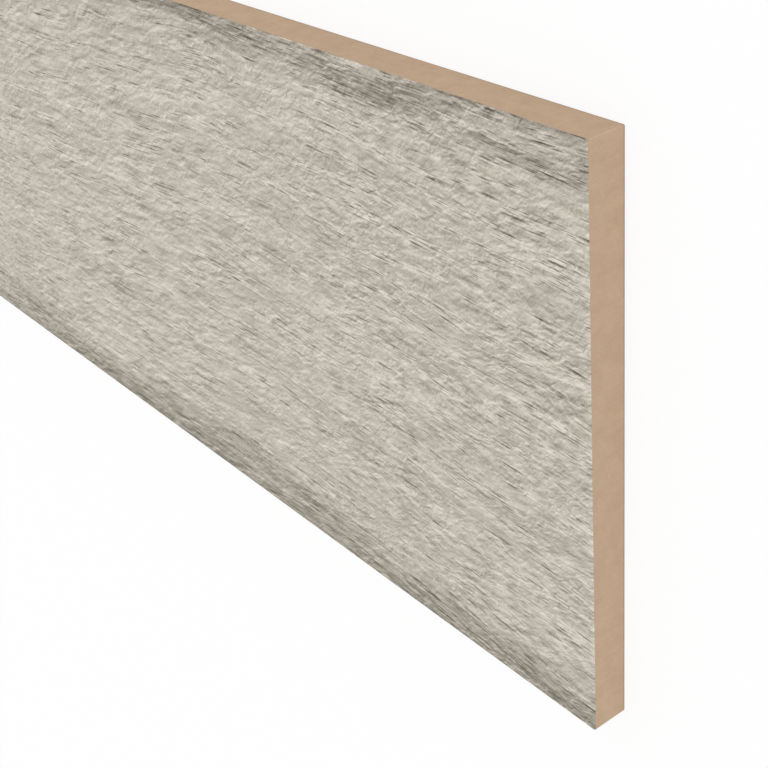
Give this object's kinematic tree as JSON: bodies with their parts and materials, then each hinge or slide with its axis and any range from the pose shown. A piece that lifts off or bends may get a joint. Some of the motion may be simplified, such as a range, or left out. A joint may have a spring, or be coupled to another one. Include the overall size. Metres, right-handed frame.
{
  "type": "stair riser board",
  "caption": "Flat rectangular riser board with a bare fibreboard core and a grey wood-grain laminate face, fixed to the upright of a stair step between the treads.",
  "frame": {"origin": "middle of the back face, on the surface that the board lies on", "axes": "+X along the board's length, +Y across its height towards the upper edge as fitted, +Z out of the decor face"},
  "size_m": [1.1938, 0.1872, 0.0127],
  "materials": {
    "raw_fibreboard": "matte",
    "grey_wood_decor": "matte"
  },
  "bodies": {
    "root": {"fibreboard_core": "raw_fibreboard", "decor_laminate": "grey_wood_decor"}
  },
  "joints": []
}
